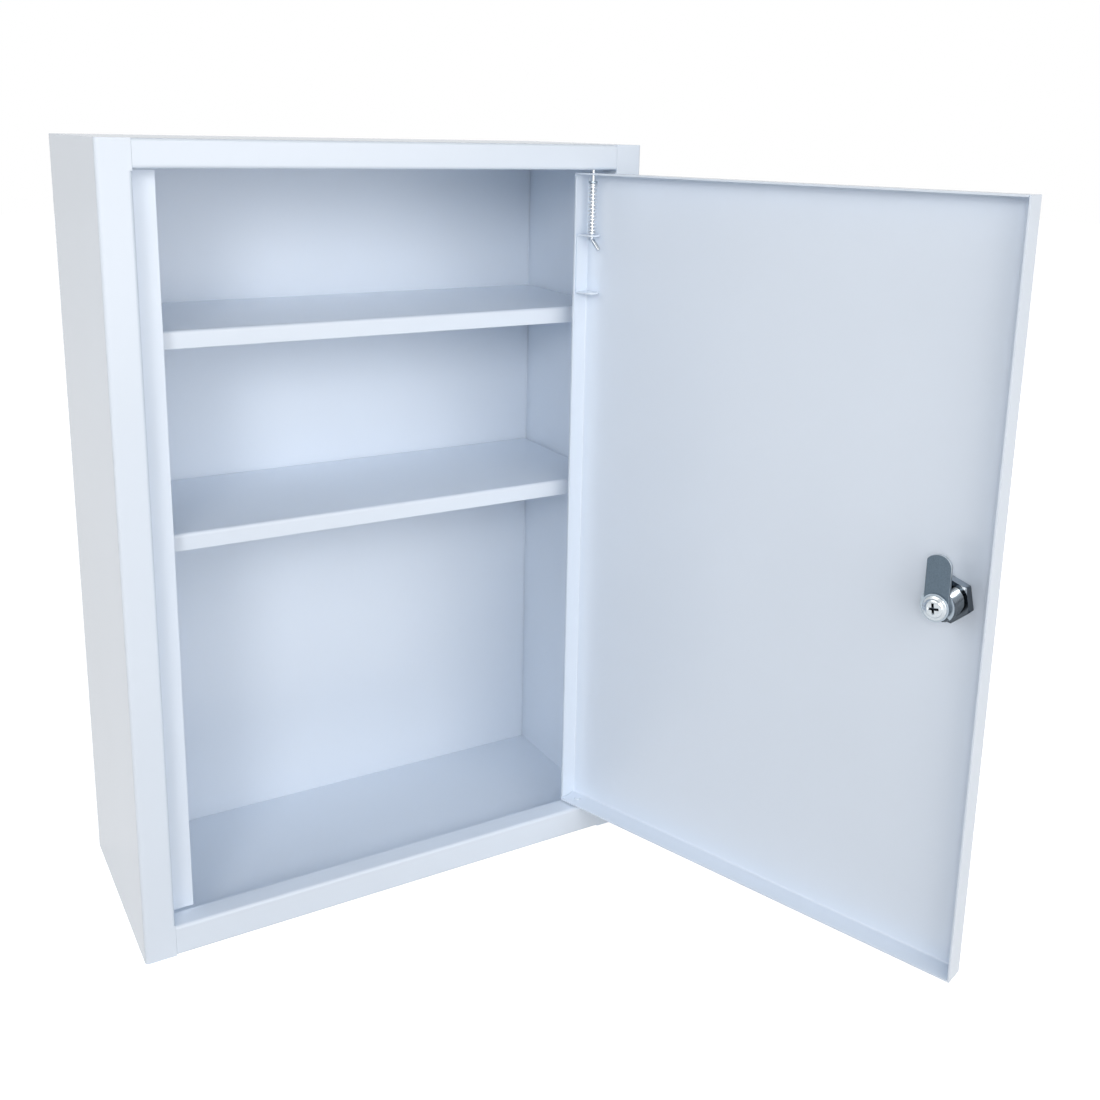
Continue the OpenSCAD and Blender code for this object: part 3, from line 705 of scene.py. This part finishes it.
class CABINET_OT_thread_barrel(Operator):
    """Makes the lock's threaded barrel with its bezel and its stop post"""
    bl_idname = "cabinet.thread_barrel"
    bl_label = "Thread barrel"

    def execute(self, context):
        settings = context.scene.cabinet_lock
        sides, rows_per_turn = 160, 12
        radius = settings.barrel / MM / 2
        half_flat = settings.flats / MM / 2
        bezel = settings.bezel / MM / 2
        bore = settings.plug / MM / 2 + 0.05
        pitch = settings.thread_pitch / MM
        depth = settings.thread_depth / MM
        end = 19.4
        thread_start, thread_length = 0.4, end - 1.0
        crest, flank, run_out = 0.2, 0.66, 1.2
        rim, rim_steps, rim_front = 0.9, 6, -2.94

        rows = [("plain", bore, -3), ("plain", bezel - 1.2, -3), ("plain", bezel - rim, rim_front)]
        for i in range(1, rim_steps + 1):
            a = math.pi / 2 * i / rim_steps
            rows.append(("plain", bezel - rim + rim * math.sin(a), rim_front + rim - rim * math.cos(a)))
        rows += [("plain", bezel, -0.1), ("plain", bezel - 0.1, 0), ("flat", radius, 0)]
        count = round(thread_length / pitch * rows_per_turn)
        rows += [("thread", radius, thread_start + thread_length * i / count) for i in range(count + 1)]
        rows += [("flat", radius - depth, end), ("plain", bore, end)]
        points = []
        for kind, r, z in rows:
            for k in range(sides):
                a = math.tau * k / sides
                reach = r
                if kind == "thread":
                    phase = (z / pitch - k / sides) % 1
                    rise = min(1, max(0, (abs(2 * phase - 1) - crest) / flank))
                    blend = min(1, (end - z) / run_out)
                    reach = r - depth * (1 - blend * rise)
                x, y = reach * math.cos(a), reach * math.sin(a)
                if kind != "plain":
                    y = max(-half_flat, min(half_flat, y))
                points.append((x, y, z))
        faces = []
        for i in range(len(rows)):
            j = (i + 1) % len(rows)
            for k in range(sides):
                n = (k + 1) % sides
                faces.append([i * sides + k, i * sides + n, j * sides + n, j * sides + k])
        barrel = loose_object("lock_barrel", mesh_of("lock_barrel", points, faces, lock_place()))

        post_radius, post_steps, post_reach, post_turn = 0.9, 24, 8.2, math.radians(225)
        points, faces = turned([
            (0, end - 0.9), (post_radius, end - 0.9), (post_radius, end + 0.65),
            (post_radius - 0.15, end + 0.8), (0, end + 0.8)], post_steps)
        post_place = lock_place() @ Matrix.Translation(
            Vector((post_reach * math.cos(post_turn), post_reach * math.sin(post_turn), 0)) * MM)
        combine(barrel, loose_object("post", mesh_of("post", points, faces, post_place)), "UNION")
        mesh = barrel.data
        bpy.data.objects.remove(barrel)
        new_piece("lock_barrel", mesh, finish_named(painted_shade_nickel_plate, settings), "door",
                  ["lock_housing"], crease=30)
        return {"FINISHED"}


class CABINET_OT_turn_screw(Operator):
    """Makes the cam screw's domed head with its crossed recess"""
    bl_idname = "cabinet.turn_screw"
    bl_label = "Turn cam screw"

    def execute(self, context):
        settings = context.scene.cabinet_lock
        steps, dome_steps = 72, 12
        shank, head, rise, brim = 2.1, 4.9, 2.2, 1.2
        place = lock_place()
        local = [place.inverted() @ v.co for v in frame["nodes"]["cam_screw"].data.vertices]
        foot = min(p.z for p in local) / MM
        top = screw_top()
        flange = settings.screw_head / MM / 2
        seat = top - rise
        profile = [
            (0, foot), (shank - 0.3, foot), (shank, foot + 0.3), (shank, seat),
            (flange - 0.12, seat), (flange, seat + 0.12), (flange, seat + 0.35),
            (flange - 0.1, seat + 0.5), (flange - 0.35, seat + 0.6), (head + 0.5, seat + 0.82),
            (head + 0.2, seat + 0.95), (head, seat + brim),
        ]
        for i in range(1, dome_steps):
            a = math.pi / 2 * i / dome_steps
            profile.append((head * math.cos(a) ** 0.6, seat + brim + (rise - brim) * math.sin(a)))
        profile.append((0, top))
        points, faces = turned(profile, steps)
        screw = loose_object("cam_screw_head", mesh_of("cam_screw_head", points, faces, place))

        reach, wide = settings.recess / MM / 2, 0.78
        floor_reach, floor_wide, recess_depth, slant = 1.7, 0.4, 1.8, 8
        corners = ((-1, -1), (1, -1), (1, 1), (-1, 1))
        wing = [(x * reach, y * wide, top + 0.5) for x, y in corners]
        wing += [(x * floor_reach, y * floor_wide, top - recess_depth) for x, y in corners]
        faces = [[0, 1, 2, 3], [4, 5, 6, 7], [0, 1, 5, 4], [1, 2, 6, 5], [2, 3, 7, 6], [3, 0, 4, 7]]
        for turn in (slant, slant + 90):
            spin = Matrix.Rotation(math.radians(turn), 4, "Z")
            tool = loose_object("recess", mesh_of("recess", wing, faces, place @ spin))
            combine(screw, tool, "DIFFERENCE")
        mesh = screw.data
        bpy.data.objects.remove(screw)
        piece = new_piece("cam_screw_head", mesh, finish_named(headed_nickel_plate, settings), "plug",
                          ["cam_screw"])
        round_edges(piece, radius=0.07 * MM)
        return {"FINISHED"}


class CABINET_OT_set_stage(Operator):
    """Sets the floor, the soft light and the camera"""
    bl_idname = "cabinet.set_stage"
    bl_label = "Set stage"

    def execute(self, context):
        settings = context.scene.cabinet_stage
        self.lay_floor(settings)
        self.light_room(context, settings)
        self.hang_lamp(settings, "side_light", settings.side_power, turn=-86, rise=28, width=1.1)
        self.hang_lamp(settings, "near_light", settings.near_power, turn=-38, rise=20, width=0.5)
        self.hang_lamp(settings, "front_light", settings.front_power, turn=0, rise=19, width=1.8)
        back = self.hang_lamp(settings, "back_light", settings.back_power, turn=140, rise=20, width=1.6)
        back.visible_glossy = False  # its glare would wash out the cabinet's top from the front
        self.place_camera(context, settings)
        return {"FINISHED"}

    def lay_floor(self, settings):
        """A matt floor that is seen as white, and a little less than white beside the cabinet."""
        half, near, far, near_glow = 6.0, 0.5, 2.0, 0.86
        mesh = bpy.data.meshes.new("floor")
        mesh.from_pydata([(-half, -half, 0), (half, -half, 0), (half, half, 0), (-half, half, 0)], [],
                         [(0, 1, 2, 3)])
        floor = bpy.data.objects.new("floor", mesh)
        bpy.context.scene.collection.objects.link(floor)
        finish = bpy.data.materials.new("studio_floor")
        finish.use_nodes = True
        tree = finish.node_tree
        tree.nodes.clear()
        matt = add_node(tree, "ShaderNodeBsdfDiffuse", values={"Color": (*settings.floor, 1)})
        place = add_node(tree, "ShaderNodeTexCoord")
        away = add_node(tree, "ShaderNodeVectorMath", {"operation": "LENGTH"}, links={0: (place, "Object")})
        fade = add_node(tree, "ShaderNodeMapRange", links={"Value": (away, "Value")}, values={
            "From Min": near, "From Max": far, "To Min": near_glow, "To Max": 1})
        strength = add_node(tree, "ShaderNodeMath", {"operation": "MULTIPLY"},
                            links={0: (seen_directly(tree), "Value"), 1: (fade, "Result")})
        glow = add_node(tree, "ShaderNodeEmission", values={"Color": (1, 1, 1, 1)},
                        links={"Strength": (strength, "Value")})
        both = add_node(tree, "ShaderNodeAddShader", links={0: (matt, "BSDF"), 1: (glow, "Emission")})
        add_node(tree, "ShaderNodeOutputMaterial", links={"Surface": (both, "Shader")})
        mesh.materials.append(finish)

    def light_room(self, context, settings):
        """A faint, cool light from all round, and white wherever the room itself is seen."""
        world = bpy.data.worlds.new("studio")
        context.scene.world = world
        world.use_nodes = True
        tree = world.node_tree
        tree.nodes.clear()
        room = add_node(tree, "ShaderNodeBackground",
                        values={"Color": (0.8, 0.9, 1, 1), "Strength": settings.room_light})
        white = add_node(tree, "ShaderNodeBackground", values={"Color": (1, 1, 1, 1), "Strength": 1})
        pick = add_node(tree, "ShaderNodeMixShader", links={
            0: (seen_directly(tree), "Value"), 1: (room, "Background"), 2: (white, "Background")})
        add_node(tree, "ShaderNodeOutputWorld", links={"Surface": (pick, "Shader")})

    def hang_lamp(self, settings, name, power, turn, rise, width):
        """A round, soft lamp that faces the cabinet, from a turn about it and a rise in degrees."""
        aim, distance = Vector((0.03, -0.12, 0.22)), 1.7
        side, up = math.radians(turn), math.radians(rise)
        out = Vector((math.sin(side) * math.cos(up), -math.cos(side) * math.cos(up), math.sin(up)))
        lamp = bpy.data.lights.new(name, "AREA")
        lamp.shape = "DISK"
        lamp.size = width
        lamp.energy = power
        lamp.color = settings.lamp_colour
        hung = bpy.data.objects.new(name, lamp)
        hung.location = aim + distance * out
        hung.rotation_mode = "QUATERNION"
        hung.rotation_quaternion = (-out).to_track_quat("-Z", "Y")
        bpy.context.scene.collection.objects.link(hung)
        return hung

    def place_camera(self, context, settings):
        """The camera, with a small shift of its lens."""
        eye = bpy.data.cameras.new("camera")
        eye.sensor_width = 36
        eye.lens = settings.lens
        eye.shift_x, eye.shift_y = settings.shift
        camera = bpy.data.objects.new("camera", eye)
        camera.location = settings.camera_place
        camera.rotation_euler = settings.camera_turn
        context.scene.collection.objects.link(camera)
        context.scene.camera = camera


def seen_directly(tree):
    """1 for camera, glossy and transmission rays, and 0 for all others."""
    path = add_node(tree, "ShaderNodeLightPath")
    first = add_node(tree, "ShaderNodeMath", {"operation": "MAXIMUM"},
                     links={0: (path, "Is Camera Ray"), 1: (path, "Is Glossy Ray")})
    return add_node(tree, "ShaderNodeMath", {"operation": "MAXIMUM"},
                    links={0: (first, "Value"), 1: (path, "Is Transmission Ray")})


class CABINET_PT_pieces(Panel):
    """Lists the cabinet's pieces and their settings"""
    bl_idname = "CABINET_PT_pieces"
    bl_label = "Medicine cabinet"
    bl_space_type = "VIEW_3D"
    bl_region_type = "UI"
    bl_category = "Cabinet"

    def draw(self, context):
        for operator in OPERATORS:
            self.layout.operator(operator.bl_idname)
        for owner in GROUPS:
            box = self.layout.box()
            settings = getattr(context.scene, owner)
            for name in GROUPS[owner].__annotations__:
                box.prop(settings, name)


GROUPS = {
    "cabinet_sheet": SheetSettings,
    "cabinet_hinge": HingeSettings,
    "cabinet_lock": LockSettings,
    "cabinet_stage": StageSettings,
}
OPERATORS = [
    CABINET_OT_set_stage, CABINET_OT_coat_sheet, CABINET_OT_plate_fittings,
    CABINET_OT_wind_spring, CABINET_OT_bend_pin, CABINET_OT_thread_barrel, CABINET_OT_turn_screw,
]


def register():
    for made in [*GROUPS.values(), *OPERATORS, CABINET_PT_pieces]:
        bpy.utils.register_class(made)
    for owner, group in GROUPS.items():
        setattr(bpy.types.Scene, owner, PointerProperty(type=group))


def unregister():
    for owner in GROUPS:
        delattr(bpy.types.Scene, owner)
    for made in [CABINET_PT_pieces, *reversed(OPERATORS), *GROUPS.values()]:
        bpy.utils.unregister_class(made)


def main():
    register()
    bpy.context.scene.view_settings.view_transform = "Standard"
    bpy.ops.cabinet.set_stage()
    bpy.ops.cabinet.coat_sheet()
    bpy.ops.cabinet.plate_fittings()
    bpy.ops.cabinet.wind_spring()
    bpy.ops.cabinet.bend_pin()
    bpy.ops.cabinet.thread_barrel()
    bpy.ops.cabinet.turn_screw()
    bpy.context.view_layer.update()


if __name__ == "__main__":
    main()
